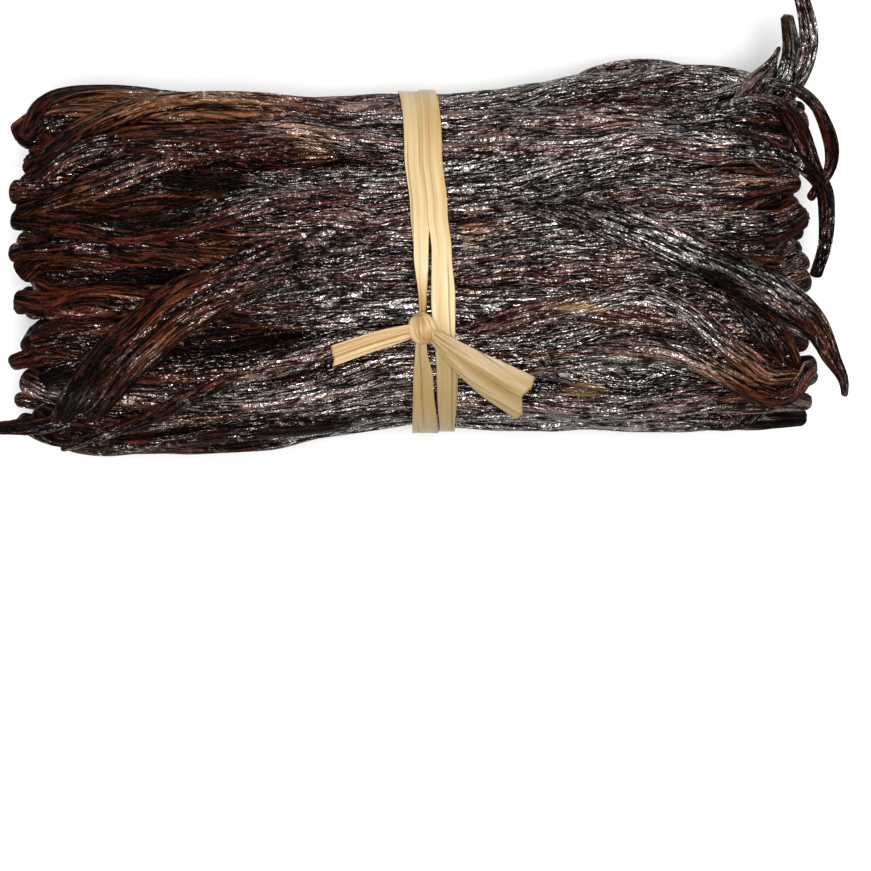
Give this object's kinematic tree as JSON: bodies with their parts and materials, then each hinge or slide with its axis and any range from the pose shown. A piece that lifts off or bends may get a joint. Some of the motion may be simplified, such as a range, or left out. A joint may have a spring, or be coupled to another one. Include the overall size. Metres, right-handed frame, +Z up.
{
  "type": "vanilla pod bundle",
  "caption": "Bundle of long dried vanilla pods with loose curling ends, drawn in at the middle by a knotted raffia strip.",
  "frame": {"origin": "middle of the whole footprint, on the surface that the bundle lies on", "axes": "+X along the pods towards the end with the big ribbon-like pod, +Z up to the side with the knot, +Y to the side with the long stray tips"},
  "size_m": [0.1672, 0.0915, 0.052],
  "materials": {
    "pods": "near-black oily brown with red-brown patches and fine lengthwise wrinkles, glossy on the ridges",
    "raffia": "dry straw-yellow plant fibre with fine brown fibre lines, satin"
  },
  "bodies": {
    "root": {"pods": "pods", "raffia_tie": "raffia"}
  },
  "joints": []
}
